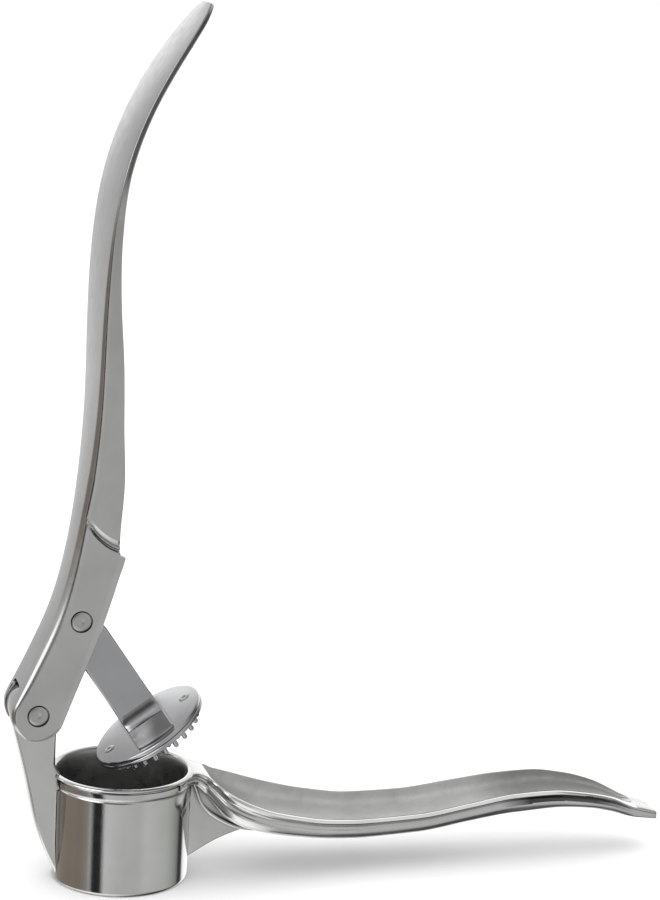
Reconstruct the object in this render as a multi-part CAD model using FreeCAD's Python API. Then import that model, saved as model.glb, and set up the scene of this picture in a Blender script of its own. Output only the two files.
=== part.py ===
# Hand-held garlic press, cast aluminium, standing on the flat bottom of its cup with the lever open.
# Millimetres. The origin is the middle of the cup's bottom face. +X runs along the fixed handle towards its
# tip, +Z is up, and the press is symmetrical about the plane y = 0.
import FreeCAD, Part
import math
import os

Vector = FreeCAD.Vector
Y_AXIS = Vector(0, 1, 0)

# Cup
CUP_HEIGHT = 28.0
CUP_RADIUS = 17.2
CUP_FOOT_CHAMFER = 0.7
LIP_RADIUS = 18.2
LIP_HEIGHT = 4.0
MOUTH_RADIUS = 16.5
MOUTH_DEPTH = 3.0
BORE_RADIUS = 16.0
LEDGE_RADIUS = 14.4
LEDGE_TOP = 1.8

# Sieve plate, pressed into the cup on its ledge
SIEVE_THICKNESS = 1.6
SIEVE_HOLE_RADIUS = 0.9

# Holes and studs share these rings: six more on each ring outwards
STUD_RINGS = 4
STUD_PITCH = 3.0
STUD_RADIUS = 0.65
STUD_LENGTH = 2.7

# Hinge post on the cup, and the main pivot at its top
PIVOT = (-22.9, 44.6)
POST_HALF = 4.0
POST_TOP_RADIUS = 6.2
PIN_RADIUS = 2.5
PIN_CLEARANCE = 0.05

# Fixed handle, by stations along it: x, height of its rim, depth below the rim, half width
HANDLE = [(19.0, 26.8, 4.6, 5.4), (22.0, 25.5, 6.6, 7.2), (26.0, 22.9, 7.8, 11.1), (30.0, 21.2, 7.9, 13.2),
          (35.0, 19.3, 7.3, 14.1), (42.0, 17.3, 6.6, 13.9), (51.0, 15.5, 6.0, 13.1), (62.0, 14.5, 5.7, 11.7),
          (76.0, 14.9, 5.5, 11.0), (90.0, 16.8, 5.4, 10.3), (103.0, 18.6, 5.6, 9.8), (113.0, 19.0, 5.4, 9.8),
          (122.0, 17.9, 4.8, 9.2), (133.0, 14.7, 3.9, 7.3), (145.0, 10.0, 2.4, 4.0)]
TRAY_WALL = 1.8
TRAY_FLOOR = 1.8
TRAY_NOSE = (23.2, 24.6, 0.4, 5.0)
TRAY_TAIL = (137.5, 12.9, 0.4, 3.2)
GUSSET_HALF = 2.0
GUSSET_LOW = [(16.0, 3.2), (24.1, 7.9), (31.0, 10.6), (36.5, 12.2)]
GUSSET_TOP = [(30.0, 15.0), (21.0, 22.0), (16.0, 25.0)]

# Lever: (x, z) of its back and of its front edge, and (z, half width)
BACK = [(-23.1, 59.7), (-18.9, 69.9), (-15.1, 85.0), (-12.8, 100.0), (-11.0, 120.0), (-10.6, 140.0),
        (-9.7, 160.0), (-6.4, 180.0), (1.9, 200.0), (14.0, 218.5)]
FRONT = [(-3.8, 86.4), (-3.6, 104.0), (-4.5, 118.0), (-5.2, 134.0), (-6.7, 150.0), (-7.2, 163.0),
         (-5.3, 179.0), (2.6, 199.4), (14.8, 217.6)]
CHEEK_FRONT = [(-12.4, 53.6), (-6.9, 68.7), (-2.6, 84.3)]
LEVER_HALF = [(85, 7.5), (100, 8.3), (120, 10.0), (140, 11.4), (160, 12.4), (178, 12.7), (198, 12.4),
              (209, 11.0), (215.5, 7.6), (218.5, 0.0)]
FORK_HALF = 7.5
CHEEK_END_RADIUS = 6.6
WEB = 2.0
FORK_GAP_HALF = 4.2
CHANNEL_WALL = 2.2
CHANNEL_END = 172.0
SLOT_TOP = 52.0

# Plunger: its pin on the lever, its tilt from straight down, and its arm and head
PLUNGER_PIN = (-12.9, 68.3)
PLUNGER_TILT = 34.4
ARM_LENGTH = 34.6
ARM_SHIFT = -0.9
ARM_WIDTH = 10.2
ARM_HALF = 3.6
ARM_BEVEL = 0.8
EYE_RADIUS = 3.8
EYE_HALF = 4.0
HEAD_RADIUS = 15.0
HEAD_PLATE = 1.2
FOOT_HALF = 12.6
FOOT_LIP = 0.5
# How far the foot spreads beyond the arm's face, and how high above the head
FOOT_CURVE = [(0.0, 6.6), (0.5, 5.0), (2.3, 3.2)]
RIVET_OFFSET = 11.3
RIVET_RADIUS = 1.1


def at(x, z, y=0.0):
    """A point from its place in the side view."""
    return Vector(x, y, z)


def curve(points):
    """A smooth edge through points."""
    spline = Part.BSplineCurve()
    spline.interpolate(points)
    return spline.toShape()


def line(start, end):
    return Part.LineSegment(start, end).toShape()


def polar(centre, radius, degrees):
    """A side-view point at an angle from +X towards +Z."""
    angle = math.radians(degrees)
    return at(centre[0] + radius * math.cos(angle), centre[1] + radius * math.sin(angle))


def prism(edges, direction):
    """A solid swept both ways along direction from a closed outline."""
    face = Part.Face(Part.Wire(edges))
    face.translate(direction * -1)
    return face.extrude(direction * 2)


def pin_hole(centre, radius, half_length):
    return Part.makeCylinder(radius, 2 * half_length, at(*centre, y=-half_length), Y_AXIS)


def ring_places():
    """Centres of the studs and sieve holes: one in the middle, then rings of 6, 12, 18 and 24."""
    places = [(0.0, 0.0)]
    for ring in range(1, STUD_RINGS + 1):
        for step in range(6 * ring):
            angle = 2 * math.pi * step / (6 * ring)
            places.append((ring * STUD_PITCH * math.cos(angle), ring * STUD_PITCH * math.sin(angle)))
    return places


def trough_section(x, top, shoulder, bottom, half, corner):
    """A closed section across the fixed handle: flat top, upright sides, bevelled corners, curved floor."""
    low = shoulder - 0.75 * (shoulder - bottom)
    inner = half - corner
    places = [Vector(x, -inner, low), Vector(x, -half, shoulder), Vector(x, -half, top), Vector(x, half, top),
              Vector(x, half, shoulder), Vector(x, inner, low)]
    edges = [line(a, b) for a, b in zip(places, places[1:])]
    edges.append(Part.Arc(places[-1], Vector(x, 0, bottom), places[0]).toShape())
    return Part.Wire(edges)


def cup_outside():
    """The cup's wall, foot chamfer and lip, still solid."""
    lip_bottom = CUP_HEIGHT - LIP_HEIGHT
    profile = Part.makePolygon([
        at(0, 0), at(CUP_RADIUS - CUP_FOOT_CHAMFER, 0), at(CUP_RADIUS, CUP_FOOT_CHAMFER),
        at(CUP_RADIUS, lip_bottom - 0.6), at(LIP_RADIUS, lip_bottom), at(LIP_RADIUS, CUP_HEIGHT - 0.4),
        at(LIP_RADIUS - 0.4, CUP_HEIGHT), at(0, CUP_HEIGHT), at(0, 0)])
    return Part.Face(profile).revolve(Vector(0, 0, 0), Vector(0, 0, 1), 360)


def cup_inside():
    """The space in the cup: discharge opening, bore and flared mouth."""
    profile = Part.makePolygon([
        at(0, -1), at(LEDGE_RADIUS, -1), at(LEDGE_RADIUS, LEDGE_TOP), at(BORE_RADIUS, LEDGE_TOP),
        at(BORE_RADIUS, CUP_HEIGHT - MOUTH_DEPTH), at(MOUTH_RADIUS, CUP_HEIGHT), at(MOUTH_RADIUS, 60),
        at(0, 60), at(0, -1)])
    return Part.Face(profile).revolve(Vector(0, 0, 0), Vector(0, 0, 1), 360)


def hinge_post():
    """The lug that rises behind the cup and carries the main pivot."""
    top_left = polar(PIVOT, POST_TOP_RADIUS, 186)
    top_right = polar(PIVOT, POST_TOP_RADIUS, -28)
    crown = Part.Arc(top_left, polar(PIVOT, POST_TOP_RADIUS, 80), top_right).toShape()
    back = curve([top_left, at(-24.0, 24.0), at(-20.6, 10.5), at(-16.3, 1.0)])
    outline = [crown, line(top_right, at(-17.6, 30)), line(at(-17.6, 30), at(-14, 26)),
               line(at(-14, 26), at(-14, 1.0)), line(at(-14, 1.0), at(-16.3, 1.0)), back]
    return prism(Part.__sortEdges__(outline), Vector(0, POST_HALF, 0))


def neck():
    """The flat bridge from the cup's lip to the handle, waisted between them."""
    side = [line(at(8, 24), at(8, 28)), line(at(8, 28), at(16.5, 28)), curve([at(16.5, 28), at(18, 27.3)]),
            line(at(18, 27.3), at(21, 25.8)), line(at(21, 25.8), at(21, 18.8)),
            line(at(21, 18.8), at(18, 23.6)), line(at(18, 23.6), at(8, 24))]
    near = [Vector(13.0, -12.6, 0), Vector(16.5, -7.4, 0), Vector(21, -5.4, 0)]
    far = [Vector(13.0, 12.6, 0), Vector(16.5, 7.4, 0), Vector(21, 5.4, 0)]
    plan = [curve(near), line(near[-1], far[-1]), curve(far), line(far[0], near[0])]
    return prism(side, Vector(0, 20, 0)).common(prism(plan, Vector(0, 0, 60)))


def fixed_handle():
    """The curved handle, a tray open at the top between two walls."""
    outer = []
    inner = [trough_section(*tray_place(*TRAY_NOSE), TRAY_NOSE[3], 0.5)]
    for x, rim, depth, half in HANDLE:
        outer.append(trough_section(x, rim, rim - 0.45 * depth, rim - depth, half, 0.16 * half))
        if TRAY_NOSE[0] + 1 < x < TRAY_TAIL[0] - 1:
            inner.append(trough_section(*tray_place(x, rim, depth - TRAY_FLOOR, half),
                                        half - TRAY_WALL, 0.3 * half))
    inner.append(trough_section(*tray_place(*TRAY_TAIL), TRAY_TAIL[3], 0.5))
    return Part.makeLoft(outer, True, False).cut(Part.makeLoft(inner, True, False))


def tray_place(x, rim, depth, half):
    """Where a section of the tray stands: x, a top above the rim, its shoulder and its floor."""
    return x, rim + 4, rim - 0.2 * depth, rim - depth


def gusset():
    """The thin web under the neck, concave along its lower edge."""
    low = [at(*p) for p in GUSSET_LOW]
    top = [at(*p) for p in GUSSET_TOP]
    outline = [curve(low), line(top[-1], low[0])]
    outline += [line(a, b) for a, b in zip([low[-1]] + top, top)]
    return prism(outline, Vector(0, GUSSET_HALF, 0))


def lower_casting():
    """Cup, hinge post, neck, gusset and fixed handle, cast in one."""
    body = cup_outside().fuse([hinge_post(), neck(), fixed_handle(), gusset()])
    body = body.cut(cup_inside())
    return body.cut(pin_hole(PIVOT, PIN_RADIUS + PIN_CLEARANCE, 10)).removeSplitter()


def sieve_plate():
    """The perforated steel disc that the garlic is pressed through."""
    plate = Part.makeCylinder(BORE_RADIUS, SIEVE_THICKNESS, at(0, LEDGE_TOP))
    holes = [Part.makeCylinder(SIEVE_HOLE_RADIUS, 6, Vector(x, y, 0)) for x, y in ring_places()]
    return plate.cut(Part.makeCompound(holes))


def shifted(points, distance):
    """A line of side-view points moved to its right by distance."""
    moved = []
    for i, (x, z) in enumerate(points):
        before = points[max(i - 1, 0)]
        after = points[min(i + 1, len(points) - 1)]
        along = Vector(after[0] - before[0], 0, after[1] - before[1]).normalize()
        moved.append((x + distance * along.z, z - distance * along.x))
    return moved


def lever_plan(half_widths, inset):
    """The lever's outline seen from behind, as closed edges in the plane x = 0."""
    left = [Vector(0, h - inset, z) for z, h in half_widths]
    right = [Vector(0, inset - h, z) for z, h in half_widths]
    foot = 30.0
    return [curve(left), line(right[0], Vector(0, right[0].y, foot)), curve(right),
            line(Vector(0, left[0].y, foot), left[0]),
            line(Vector(0, right[0].y, foot), Vector(0, left[0].y, foot))]


def lever_block():
    """The lever's full outline, before its channel and slot are cut."""
    heel_back = polar(PIVOT, CHEEK_END_RADIUS, 155)
    heel_front = polar(PIVOT, CHEEK_END_RADIUS, -18)
    heel = Part.Arc(heel_back, polar(PIVOT, CHEEK_END_RADIUS, 250), heel_front).toShape()
    back = [heel_back] + [at(*p) for p in BACK]
    cheek = [heel_front] + [at(*p) for p in CHEEK_FRONT]
    front = [at(*p) for p in FRONT]
    outline = [heel, curve(back), line(back[-1], front[-1]), curve(front)]
    outline += [line(front[0], cheek[-1]), curve(cheek)]
    side = prism(Part.__sortEdges__(outline), Vector(0, 20, 0))
    plan = prism(Part.__sortEdges__(lever_plan(LEVER_HALF, 0.0)), Vector(60, 0, 0))
    return side.common(plan)


def lever_channel():
    """The channel along the lever's front, between its two side walls."""
    heel_back = polar(PIVOT, CHEEK_END_RADIUS, 155)
    web = shifted([(heel_back.x, heel_back.z)] + BACK, WEB)
    inner = [at(*p) for p in web]
    start = at(inner[0].x - 5, 30)
    beyond = [start, at(40, 30), at(40, inner[-1].z), inner[-1]]
    outline = [curve(inner), line(inner[0], start)]
    outline += [line(a, b) for a, b in zip(beyond, beyond[1:])]
    side = prism(Part.__sortEdges__(outline), Vector(0, 20, 0))
    low = [(30, FORK_GAP_HALF), (88, FORK_GAP_HALF)]
    high = [(z, h - CHANNEL_WALL) for z, h in LEVER_HALF if 95 < z < CHANNEL_END]
    places = low[1:] + high + [(CHANNEL_END - 3, high[-1][1] - 2.5), (CHANNEL_END, 0.0)]
    left = [Vector(0, h, z) for z, h in places]
    right = [Vector(0, -h, z) for z, h in places]
    foot_left = Vector(0, FORK_GAP_HALF, 30)
    foot_right = Vector(0, -FORK_GAP_HALF, 30)
    plan = [curve(left), curve(right), line(right[0], foot_right), line(foot_right, foot_left),
            line(foot_left, left[0])]
    return side.common(prism(Part.__sortEdges__(plan), Vector(60, 0, 0)))


def upper_handle():
    """The lever: a fork over the post, then a channel that flattens into a broad tongue."""
    slot = Part.makeBox(30, 2 * FORK_GAP_HALF, 30, Vector(-40, -FORK_GAP_HALF, SLOT_TOP - 30))
    body = lever_block().cut(lever_channel()).cut(slot)
    holes = [pin_hole(PIVOT, PIN_RADIUS, 20), pin_hole(PLUNGER_PIN, PIN_RADIUS, 20)]
    return body.cut(Part.makeCompound(holes)).removeSplitter()


def hang(shape):
    """Moves a shape from the plunger's own frame, pin at the origin and arm downwards, to its place."""
    shape.rotate(Vector(0, 0, 0), Y_AXIS, -PLUNGER_TILT)
    shape.translate(at(*PLUNGER_PIN))
    return shape


def arm_bar():
    """The flat bar from the eye to the foot, with bevelled long edges."""
    half = ARM_WIDTH / 2
    section = Part.makePolygon([
        Vector(-half, -ARM_HALF + ARM_BEVEL, -ARM_LENGTH), Vector(-half + ARM_BEVEL, -ARM_HALF, -ARM_LENGTH),
        Vector(half - ARM_BEVEL, -ARM_HALF, -ARM_LENGTH), Vector(half, -ARM_HALF + ARM_BEVEL, -ARM_LENGTH),
        Vector(half, ARM_HALF - ARM_BEVEL, -ARM_LENGTH), Vector(half - ARM_BEVEL, ARM_HALF, -ARM_LENGTH),
        Vector(-half + ARM_BEVEL, ARM_HALF, -ARM_LENGTH), Vector(-half, ARM_HALF - ARM_BEVEL, -ARM_LENGTH),
        Vector(-half, -ARM_HALF + ARM_BEVEL, -ARM_LENGTH)])
    bar = Part.Face(section).extrude(Vector(0, 0, ARM_LENGTH))
    bar.translate(Vector(ARM_SHIFT, 0, 0))
    left = ARM_SHIFT - half
    right = ARM_SHIFT + half
    shoulder = Part.makePolygon([at(-EYE_RADIUS, 1), at(-EYE_RADIUS, 0), at(left, -6.5), at(left, -40),
                                 at(right, -40), at(right, -5.0), at(EYE_RADIUS, 0), at(EYE_RADIUS, 1),
                                 at(-EYE_RADIUS, 1)])
    return bar.common(prism(shoulder.Edges, Vector(0, 20, 0)))


def arm_foot():
    """The flared foot that spreads the arm's load over the head."""
    half = ARM_WIDTH / 2
    base = -ARM_LENGTH
    near = [Vector(0, -ARM_HALF - out, base + up) for out, up in FOOT_CURVE]
    near += [Vector(0, -FOOT_HALF, base + FOOT_LIP), Vector(0, -FOOT_HALF, base)]
    far = [Vector(p.x, -p.y, p.z) for p in near]
    outline = [curve(near[:-2]), curve(far[:-2]), line(near[0], far[0]), line(near[-1], far[-1])]
    for side in (near, far):
        outline += [line(side[-3], side[-2]), line(side[-2], side[-1])]
    foot = prism(Part.__sortEdges__(outline), Vector(half, 0, 0))
    foot.translate(Vector(ARM_SHIFT, 0, 0))
    return foot


def plunger_arm():
    """Eye, bar, foot and head plate, cast in one."""
    eye = Part.makeCylinder(EYE_RADIUS, 2 * EYE_HALF, Vector(0, -EYE_HALF, 0), Y_AXIS)
    plate = Part.makeCylinder(HEAD_RADIUS, HEAD_PLATE, Vector(ARM_SHIFT, 0, -ARM_LENGTH - HEAD_PLATE))
    body = eye.fuse([arm_bar(), arm_foot(), plate])
    body = body.cut(pin_hole((0, 0), PIN_RADIUS + PIN_CLEARANCE, 10))
    body = body.cut(Part.makeCompound(rivet_shanks(RIVET_RADIUS)))
    return hang(body.removeSplitter())


def rivet_shanks(radius):
    """Straight shanks through both head plates."""
    top = -ARM_LENGTH
    return [Part.makeCylinder(radius, 2 * HEAD_PLATE, Vector(ARM_SHIFT + x, 0, top - 2 * HEAD_PLATE))
            for x in (-RIVET_OFFSET, RIVET_OFFSET)]


def stud_plate():
    """The lower head plate, with a stud for each sieve hole."""
    under = -ARM_LENGTH - 2 * HEAD_PLATE
    plate = Part.makeCylinder(HEAD_RADIUS, HEAD_PLATE, Vector(ARM_SHIFT, 0, under))
    studs = []
    for x, y in ring_places():
        tip = Vector(ARM_SHIFT + x, y, under - STUD_LENGTH + STUD_RADIUS)
        studs.append(Part.makeCylinder(STUD_RADIUS, STUD_LENGTH - STUD_RADIUS + 0.3, tip))
        studs.append(Part.makeSphere(STUD_RADIUS, tip))
    body = plate.fuse(studs)
    return hang(body.cut(Part.makeCompound(rivet_shanks(RIVET_RADIUS))).removeSplitter())


def head_rivets():
    """The two rivets that hold the stud plate under the arm's head plate."""
    return hang(Part.makeCompound(rivet_shanks(RIVET_RADIUS)))


def cross_pin(centre):
    """A plain pin pressed through both cheeks, flush with them."""
    return pin_hole(centre, PIN_RADIUS, FORK_HALF)


NODES = {
    "lower_casting": lower_casting,
    "sieve_plate": sieve_plate,
    "upper_handle": upper_handle,
    "main_pivot_pin": lambda: cross_pin(PIVOT),
    "plunger_pivot_pin": lambda: cross_pin(PLUNGER_PIN),
    "plunger_arm": plunger_arm,
    "stud_plate": stud_plate,
    "head_rivets": head_rivets,
}

os.makedirs("parts", exist_ok=True)
for name, make in NODES.items():
    shape = make()
    shape.exportStep("parts/" + name + ".step")
    print(name, "valid", shape.isValid(), "solids", len(shape.Solids), "volume", round(shape.Volume, 1))
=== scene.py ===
import math

import bmesh
import bpy
import numpy as np
from mathutils import Matrix, Vector


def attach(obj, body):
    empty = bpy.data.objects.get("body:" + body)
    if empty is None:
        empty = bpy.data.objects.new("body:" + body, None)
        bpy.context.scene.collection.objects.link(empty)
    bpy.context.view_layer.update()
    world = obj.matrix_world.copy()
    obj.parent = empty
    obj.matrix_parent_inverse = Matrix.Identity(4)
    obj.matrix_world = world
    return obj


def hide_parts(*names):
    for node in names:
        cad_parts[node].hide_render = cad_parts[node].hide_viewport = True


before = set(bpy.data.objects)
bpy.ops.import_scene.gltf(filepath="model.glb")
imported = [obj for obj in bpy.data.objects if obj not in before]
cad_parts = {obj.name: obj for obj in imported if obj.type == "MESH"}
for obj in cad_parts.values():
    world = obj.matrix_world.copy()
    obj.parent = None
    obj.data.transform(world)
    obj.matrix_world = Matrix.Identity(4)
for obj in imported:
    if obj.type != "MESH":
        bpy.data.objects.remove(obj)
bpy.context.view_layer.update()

# Everything below is in millimetres, in the frame's own axes, and becomes metres in make_mesh.
MM = 0.001

# Cup
CUP_RADIUS = 17.2
CUP_HEIGHT = 28.0
CUP_STEPS = 192
MOUTH_RADIUS = 16.6
BORE_RADIUS = 16.0
LEDGE_RADIUS = 14.4
LEDGE_TOP = 1.8

# Hinge post and gusset, two plates on the cup's wall, with fillets given as (height, reach)
POST_HALF = 4.0
POST_TOP_RADIUS = 6.2
POST_FILLET = [(2.6, 0.15), (4.5, 0.5), (7.0, 1.1), (10.0, 1.5), (24.0, 1.5)]
GUSSET_HALF = 2.0
GUSSET_FILLET = [(3.8, 0.2), (5.2, 0.7), (7.0, 0.9), (24.0, 0.9)]

# Pivots and lever
PIVOT = (-22.9, 44.6)
PLUNGER_PIN = (-12.9, 68.3)
PIN_RADIUS = 2.5
HEEL_RADIUS = 6.6
FORK_HALF = 7.5
GAP_HALF = 4.2
SLOT_TOP = 51.4
SEAT_DEPTH = 1.0
SEAT_CLEARANCE = 0.28

# Plunger, drawn with its pin at the origin and its arm straight down, then tilted
TILT = math.radians(34.4)
EYE_RADIUS = 3.8
ARM_LENGTH = 34.6
ARM_SHIFT = -0.9
ARM_HALF_WIDTH = 5.1
ARM_HALF = 3.6
HEAD_RADIUS = 15.0
HEAD_PLATE = 1.2
STUD_RINGS = 4
STUD_PITCH = 3.0
STUD_RADIUS = 0.65
STUD_LENGTH = 2.7
RIVET_OFFSET = 11.3

# Camera, in degrees and millimetres
CAMERA_AZIMUTH = 16.5
CAMERA_ELEVATION = 12.07
CAMERA_ROLL = 2.96
CAMERA_DISTANCE = 650.0
CAMERA_TARGET = (50.1, 0, 109.0)
CAMERA_LENS = 104.0

# Lever: (x, z) along its back, then by height on the back: half width, depth of its sides, depth of its
# channel, thickness of its side walls, corner radius along its back, bevel along its front, and back's crown
BACK = [(-28.75, 47.4), (-23.1, 59.7), (-18.9, 69.9), (-15.1, 85.0), (-12.8, 100.0), (-11.0, 120.0),
        (-10.6, 140.0), (-9.7, 160.0), (-6.4, 180.0), (1.9, 200.0), (13.75, 218.15)]
LEVER_HALF = [(47, 7.5), (85, 7.5), (93, 7.7), (100, 8.3), (120, 10.0), (140, 11.4), (160, 12.4),
              (178, 12.7), (198, 12.4), (207, 11.4), (212, 9.9), (215.5, 8.0), (217.3, 6.4), (218.5, 4.6)]
LEVER_DEPTH = [(47, 13.2), (58.8, 12.3), (72, 11.8), (80, 12.1), (86.3, 12.7), (86.9, 11.1), (105, 8.7),
               (118, 6.7), (134, 5.4), (150, 3.7), (163, 2.6), (179, 1.8), (200, 1.5), (214, 1.5), (218.5, 1.0)]
CHANNEL_DEPTH = [(47, 11.2), (58.8, 10.3), (72, 9.8), (86, 10.4), (88.5, 9.0), (105, 6.7), (118, 4.7),
                 (134, 3.4), (150, 1.8), (163, 0.6), (176, 0.0), (219, 0.0)]
WALL = [(47, 3.3), (86, 3.3), (96, 2.3), (219, 2.2)]
CORNER = [(47, 1.4), (56, 2.5), (70, 2.8), (95, 2.6), (115, 2.0), (150, 1.4), (172, 0.7), (190, 0.35),
          (219, 0.3)]
BEVEL = [(47, 1.2), (70, 1.7), (86.3, 1.7), (87.2, 0.5), (219, 0.25)]
CROWN = [(47, 0.12), (100, 0.16), (150, 0.2), (200, 0.3), (219, 0.2)]
# Where the cheeks end: (x, z) along the step, then how deep it is cut, by distance above that line
SHOULDER = [(-13.4, 95.5), (-12.0, 92.4), (-9.8, 89.2), (-7.8, 87.4), (-5.1, 85.8), (-2.0, 85.0)]
SHOULDER_CUT = [(-1.0, 0.0), (0.0, 0.0), (0.25, 0.75), (0.6, 0.80), (0.95, 0.15), (1.3, 0.20), (1.55, 0.78),
                (2.0, 0.72), (2.9, 0.42), (14.0, 0.0)]

# Fixed handle and neck, by x: height of the tray's edge, depth below it, half width outside, and the tray's
# own depth and half width; then how far down the side its groove runs
RIM = [(12, 27.95), (17.0, 27.9), (18.8, 27.4), (20.8, 26.5), (22.5, 25.5), (25, 23.7), (28, 22.2), (32, 20.6),
       (36, 19.2), (42, 17.6), (51, 15.8), (62, 14.8), (76, 15.2), (90, 17.1), (103, 18.9), (113, 19.3),
       (122, 18.2), (130, 16.2), (137, 13.1), (145, 10.3)]
DEPTH = [(12, 3.4), (17.0, 3.6), (18.8, 4.6), (20.8, 6.0), (22.5, 7.0), (25, 7.9), (28, 8.2), (32, 7.8),
         (36, 7.3), (42, 6.8), (51, 6.2), (62, 5.9), (76, 5.7), (90, 5.6), (103, 5.9), (113, 5.6), (122, 5.0),
         (130, 4.5), (137, 3.5), (142, 2.7), (145, 2.3)]
HALF = [(12, 13.6), (14, 10.8), (16.6, 7.8), (18.5, 6.4), (20.3, 6.2), (22.5, 8.0), (25, 10.7), (28, 12.7),
        (32, 14.1), (36, 14.5), (42, 14.1), (51, 13.3), (62, 11.8), (76, 11.2), (90, 10.5), (103, 9.9),
        (113, 9.9), (122, 9.4), (130, 8.2), (137, 6.3), (145, 4.3)]
TRAY_DEPTH = [(12, 0), (21.9, 0.0), (22.4, 1.1), (24, 2.8), (29, 5.0), (36, 5.6), (45, 4.8), (62, 4.2),
              (103, 4.0), (122, 3.0), (131, 2.0), (137, 0.9), (139.2, 0), (148, 0)]
TRAY_HALF = [(12, 2.0), (21.8, 5.4), (22.5, 6.7), (25, 9.2), (28, 11.1), (32, 12.5), (36, 12.9), (42, 12.5),
             (51, 11.7), (62, 10.2), (76, 9.6), (90, 8.9), (103, 8.2), (113, 8.2), (122, 7.8), (130, 6.4),
             (135, 4.4), (138, 2.2), (139.4, 0.8), (148, 0.8)]
GROOVE_AT = [(12, 0.26), (20, 0.28), (27, 0.30), (45, 0.30), (103, 0.30), (120, 0.36), (148, 0.38)]


# ---------------------------------------------------------------- shapes

def smooth_table(points, where):
    """Values at the places where, on a smooth line through (place, value) points that never overshoots."""
    x, y = np.array(points, float).T
    step = np.diff(x)
    rise = np.diff(y) / step
    slope = np.r_[rise[0], np.zeros(len(rise) - 1), rise[-1]]
    same = rise[:-1] * rise[1:] > 0
    total = np.where(same, rise[:-1] + rise[1:], 1.0)
    slope[1:-1] = np.where(same, 2 * rise[:-1] * rise[1:] / total, 0.0)
    i = np.clip(np.searchsorted(x, where) - 1, 0, len(step) - 1)
    t = np.clip((where - x[i]) / step[i], 0, 1)
    a = (1 + 2 * t) * (1 - t) ** 2
    b = t * (1 - t) ** 2
    c = t * t * (3 - 2 * t)
    d = t * t * (t - 1)
    return a * y[i] + b * step[i] * slope[i] + c * y[i + 1] + d * step[i] * slope[i + 1]


def value_at(points, place):
    """One value from a smooth table."""
    return smooth_table(points, np.array([place]))[0]


def spline(points, count):
    """count points, evenly spaced, on a natural cubic spline through points."""
    p = np.array(points, float)
    s = np.r_[0, np.cumsum(np.linalg.norm(np.diff(p, axis=0), axis=1))]
    h = np.diff(s)
    n = len(p)
    matrix = np.eye(n)
    right = np.zeros_like(p)
    for i in range(1, n - 1):
        matrix[i, i - 1:i + 2] = h[i - 1], 2 * (h[i - 1] + h[i]), h[i]
        right[i] = 6 * ((p[i + 1] - p[i]) / h[i] - (p[i] - p[i - 1]) / h[i - 1])
    bend = np.linalg.solve(matrix, right)
    u = np.linspace(0, s[-1], count)
    i = np.clip(np.searchsorted(s, u) - 1, 0, n - 2)
    a = ((s[i + 1] - u) / h[i])[:, None]
    b = 1 - a
    k = (h[i] ** 2 / 6)[:, None]
    return a * p[i] + b * p[i + 1] + ((a ** 3 - a) * bend[i] + (b ** 3 - b) * bend[i + 1]) * k


def arc(centre, radius, start, end, steps):
    """Points on a circle in a plane, from angle start to end in degrees."""
    angle = np.radians(np.linspace(start, end, steps))
    return np.c_[centre[0] + radius * np.cos(angle), centre[1] + radius * np.sin(angle)]


def make_mesh(name, places, faces):
    """A mesh object from places in millimetres, with faces turned outwards."""
    mesh = bpy.data.meshes.new(name)
    mesh.from_pydata([tuple(v) for v in np.array(places, float) * MM], [], faces)
    obj = bpy.data.objects.new(name, mesh)
    bpy.context.scene.collection.objects.link(obj)
    tidy = bmesh.new()
    tidy.from_mesh(mesh)
    bmesh.ops.remove_doubles(tidy, verts=tidy.verts, dist=1e-7)
    bmesh.ops.recalc_face_normals(tidy, faces=tidy.faces)
    tidy.to_mesh(mesh)
    tidy.free()
    return obj


def skin(name, rings):
    """A closed solid through rings of points, capped at both ends."""
    rings = np.array(rings, float)
    n, m = rings.shape[:2]
    faces = []
    for i in range(n - 1):
        for j in range(m):
            k = (j + 1) % m
            faces.append((i * m + j, i * m + k, (i + 1) * m + k, (i + 1) * m + j))
    faces.append(tuple(range(m)))
    faces.append(tuple((n - 1) * m + j for j in reversed(range(m))))
    return make_mesh(name, rings.reshape(-1, 3), faces)


def lathe(name, profile, steps=160):
    """A solid turned about +Z from a profile of (radius, z) that starts and ends on the axis."""
    angle = np.linspace(0, 2 * math.pi, steps, endpoint=False)
    places = []
    for r, z in profile:
        places.append(np.c_[r * np.cos(angle), r * np.sin(angle), np.full(steps, z)])
    faces = []
    for i in range(len(profile) - 1):
        for j in range(steps):
            k = (j + 1) % steps
            faces.append((i * steps + j, i * steps + k, (i + 1) * steps + k, (i + 1) * steps + j))
    return make_mesh(name, np.concatenate(places), faces)


def inset(outline, distance):
    """A closed outline drawn in by distance."""
    p = np.array(outline, float)
    along = np.roll(p, -1, axis=0) - np.roll(p, 1, axis=0)
    along /= np.linalg.norm(along, axis=1)[:, None]
    area = np.sum(p[:, 0] * np.roll(p[:, 1], -1) - np.roll(p[:, 0], -1) * p[:, 1])
    inward = np.c_[-along[:, 1], along[:, 0]] * np.sign(area)
    return p + inward * distance


def plate(name, outline, half, edge, steps=4):
    """A plate across the plane y = 0 with a side-view outline of (x, z) and rounded edges."""
    turn = np.linspace(0, math.pi / 2, steps + 1)
    near = [(edge * (1 - math.sin(a)), edge * math.cos(a) - edge + half) for a in turn]
    rings = []
    for draw_in, y in near:
        p = inset(outline, draw_in)
        rings.append(np.c_[p[:, 0], np.full(len(p), -y), p[:, 1]])
    for draw_in, y in reversed(near):
        p = inset(outline, draw_in)
        rings.append(np.c_[p[:, 0], np.full(len(p), y), p[:, 1]])
    return skin(name, rings)


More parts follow.
